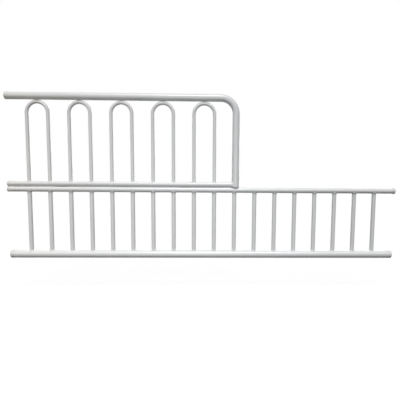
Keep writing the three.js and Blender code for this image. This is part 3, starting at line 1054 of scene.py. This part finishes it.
# `upside` is 1 for the lower bar, whose seam is above it, and -1 for the upper one.
def arm_outline(upside):
    slope = math.atan2(seam, pivot_back) * upside
    rise, run = math.sin(slope), math.cos(slope)
    near, far = strip_radius - leaf_thickness * 0.6, math.hypot(pivot_back, seam)
    half = leaf_thickness / 2
    corners = [(near, -half), (far, -half), (far, half), (near, half)]
    return [(out * run - up * rise, out * rise + up * run) for out, up in corners]


def leaf(hinge, half, bar_place, upside, strip_width, roll_width, roll_places):
    start, end = sorted((strip_start * upside, strip_end * upside))
    strap = strip(f"{hinge}_{half}_strap", start, end, strip_width, bar_place)
    for place in roll_places:
        centre = bar_place + RIGHT * place
        arm = ease_edges(pushed_outline("arm", arm_outline(upside), roll_width, centre), edge=0.4 * MM)
        roll = knuckle("roll", roll_width, at_x(centre.x, pin_middle))
        carve(strap, arm, roll, operation="UNION")
    carve(strap, pin_drill(bar_place.x))
    return settle(strap, f"{half}_panel", [f"{hinge}_{half}_leaf"], powder_coat)


def hinge_pin(name, x):
    length = extent(f"{name}_pin").x
    radius, head_radius, head = 2.5 * MM, 4 * MM, 1.8 * MM
    under_head, under_rivet = head + 0.01 * MM, length - head
    angles = [math.radians(a) for a in range(0, 91, 15)]
    dome = [(head_radius * math.sin(a), head * (1 - math.cos(a))) for a in angles]
    pin = turned(f"{name}_rivet", [
        *dome, (head_radius, under_head), (radius, under_head), (radius, under_rivet),
        (3.7 * MM, under_rivet), *arc(3.2 * MM, under_rivet + 0.7 * MM, 0.5 * MM, 0, 60, 3),
        (2.0 * MM, length - 0.2 * MM), (1.2 * MM, length - 0.6 * MM), (0, length - 0.7 * MM),
    ], 32, RIGHT, at_x(x - length / 2, pin_middle))
    return settle(pin, "lower_panel", [f"{name}_pin"], plated_steel)


hinge_places = [middle(f"{name}_pin").x for name in hinge_names]
arm_side = (upper_width - arm_width) / 2
for name, x in zip(hinge_names, hinge_places):
    leaf(name, "lower", at_x(x, lower_bar), 1, lower_width, lower_width, [0])
    leaf(name, "upper", at_x(x, upper_bar), -1, upper_width, arm_width, [-arm_side, arm_side])
    hinge_pin(name, x)

# %% [markdown]
# The strips are welded along their two ends, where they lie on the bar. The bead is an arc round the
# bar's middle line, one at each end of each strip.

# %% Recipe: arc welds, and the hinge welds
def arc_weld_recipe():
    tree, given = start_tree("Arc welds", "GeometryNodeTree", {
        **ROW, **BEAD, "Bar radius": "number", "Start angle": "number",
        "Sweep angle": "number", "Width": "place",
    }, SHAPE)
    outset = times(tree, given["Bead radius"], 0.4)
    bow = add(tree, "GeometryNodeCurveArc", {
        "Resolution": 24, "Radius": plus(tree, given["Bar radius"], outset),
        "Start Angle": given["Start angle"], "Sweep Angle": given["Sweep angle"],
    })
    standing = add(tree, "GeometryNodeTransform", {"Geometry": bow, "Rotation": given["Turn"]})
    real = real_row(tree, given, twin(tree, standing, given["Width"]))
    return finish_shape(tree, swell_bead(tree, real, tapered(tree, given, 0.3), True), given)


arc_welds = arc_weld_recipe()
ROUND_THE_BAR = (math.pi / 2, 0.0, math.pi / 2)


def weld_straps(name, body, bar, bar_radius, start, width, seed):
    margin = math.radians(8)
    beads = follow_recipe(name, arc_welds, {
        "Count": len(hinge_places), "First": at_x(hinge_places[0] - width / 2, bar),
        "Pitch": (hinge_places[1] - hinge_places[0], 0, 0), "Turn": ROUND_THE_BAR,
        "Width": (width, 0, 0), "Bar radius": bar_radius, "Start angle": start + margin,
        "Sweep angle": strip_end - strip_start - 2 * margin,
        "Bead radius": 1.3 * MM, "Unevenness": 0.6, "Seed": seed, "Finish": powder_coat,
    })
    return settle(beads, body)


weld_straps(
    "lower_strap_welds", "lower_panel", lower_bar, lower_bar_radius, strip_start, lower_width, seed=6.0,
)
weld_straps(
    "upper_strap_welds", "upper_panel", upper_bar, upper_bar_radius, -strip_end, upper_width, seed=7.0,
)

# %% [markdown]
# ## Floor, background and light
# The photograph has a plain white ground, and its light is not even: the brightest strip on each bar
# faces up and forward, the bars are dark towards the floor, and the upright tubes are brightest near
# the middle of the picture and warmest at its left. So one strong lamp stands high in front, two weak
# ones stand at its sides, and two softboxes close to the object, one of them warmer and to the left,
# brighten the uprights. Two more light the back for the views from there. The floor is dark for the
# light that bounces, so the undersides stay dark, and it is white for the camera and for mirrors. That
# white is added only up to 1, so the object's shadow still shows on it as a faint grey. A guard rail
# hangs on a bed, clear of the floor, and its folded panel reaches lower than its bottom bar. So the
# floor lies that much lower.

# %% Floor
SKY_LIGHT = 0.04
FLOOR_SHADE = 0.06
FLOOR_LIT = 0.98
FLOOR_WHITE = 1.01
FLOOR_HEIGHT = -0.12
FLOOR_REACH = 15


def seen_directly(tree):
    path = add(tree, "ShaderNodeLightPath").outputs
    seen = calc(tree, "MAXIMUM", path["Is Camera Ray"], path["Is Glossy Ray"])
    return calc(tree, "MAXIMUM", seen, path["Is Transmission Ray"])


def floor_finish():
    finish = bpy.data.materials.new("pale_floor")
    finish.use_nodes = True
    tree = finish.node_tree
    tree.nodes.clear()
    shade = add(tree, "ShaderNodeBsdfDiffuse", {"Color": (FLOOR_SHADE, FLOOR_SHADE, FLOOR_SHADE, 1)})
    lift = times(tree, seen_directly(tree), FLOOR_WHITE - FLOOR_SHADE * FLOOR_LIT)
    glow = add(tree, "ShaderNodeEmission", {"Color": (1, 1, 1, 1), "Strength": lift})
    both = add(tree, "ShaderNodeAddShader", {0: shade, 1: glow})
    add(tree, "ShaderNodeOutputMaterial", {"Surface": both})
    return finish


floor_mesh = bpy.data.meshes.new("floor")
floor_corners = [(-1, -1), (1, -1), (1, 1), (-1, 1)]
floor_mesh.from_pydata(
    [(x * FLOOR_REACH, y * FLOOR_REACH, FLOOR_HEIGHT) for x, y in floor_corners], [], [(0, 1, 2, 3)],
)
floor_mesh.materials.append(floor_finish())
new_object("floor", floor_mesh)
print("floor laid")

# %% Sky and lamps
def sky():
    world = bpy.data.worlds.new("studio")
    world.use_nodes = True
    tree = world.node_tree
    tree.nodes.clear()
    strength = calc(tree, "MULTIPLY_ADD", seen_directly(tree), 1.0 - SKY_LIGHT)
    strength.node.inputs[2].default_value = SKY_LIGHT
    glow = add(tree, "ShaderNodeBackground", {"Color": (1, 1, 1, 1), "Strength": strength})
    add(tree, "ShaderNodeOutputWorld", {"Surface": glow})
    bpy.context.scene.world = world


def hang_lamp(name, data, colour, run):
    data.color = colour
    lamp = new_object(name, data)
    lamp.rotation_mode = "QUATERNION"
    lamp.rotation_quaternion = run.to_track_quat("-Z", "Y")
    return lamp


# A brightness of 1 lights a facing white surface to full white.
def far_lamp(name, brightness, towards, width, colour):
    data = bpy.data.lights.new(name, "SUN")
    data.energy = brightness * math.pi
    data.angle = math.radians(width)
    return hang_lamp(name, data, colour, Vector(towards))


def near_softbox(name, brightness, place, target, size, colour):
    run = Vector(target) - Vector(place)
    data = bpy.data.lights.new(name, "AREA")
    data.shape = "SQUARE"
    data.size = size
    data.energy = brightness * math.pi ** 2 * run.length_squared
    hang_lamp(name, data, colour, run).location = place


sky()
# Each line: name, brightness, where the light goes or stands, its width, its colour.
far_lamp("high_front", 0.8, (0.0, 0.5, -0.866), 20, (0.975, 0.985, 1.0))
far_lamp("left_front", 0.03, (0.262, 0.72, -0.643), 25, (0.965, 0.98, 1.0))
far_lamp("right_front", 0.07, (-0.262, 0.72, -0.643), 25, (1.0, 0.95, 0.96))
near_softbox("low_front_box", 0.24, (-0.1, -0.95, 0.24), (-0.1, 0.0, 0.2), 0.4, (0.89, 0.965, 1.0))
near_softbox("left_box", 0.13, (-1.05, -0.62, 0.42), (-0.72, 0.0, 0.3), 0.4, (1.0, 0.76, 0.5))
far_lamp("back_left", 0.3, (0.4, -0.91, -0.1), 40, (1.0, 1.0, 1.0))
far_lamp("back_right", 0.4, (-0.4, -0.91, -0.12), 40, (1.0, 1.0, 1.0))
bpy.context.scene.view_settings.view_transform = "Standard"
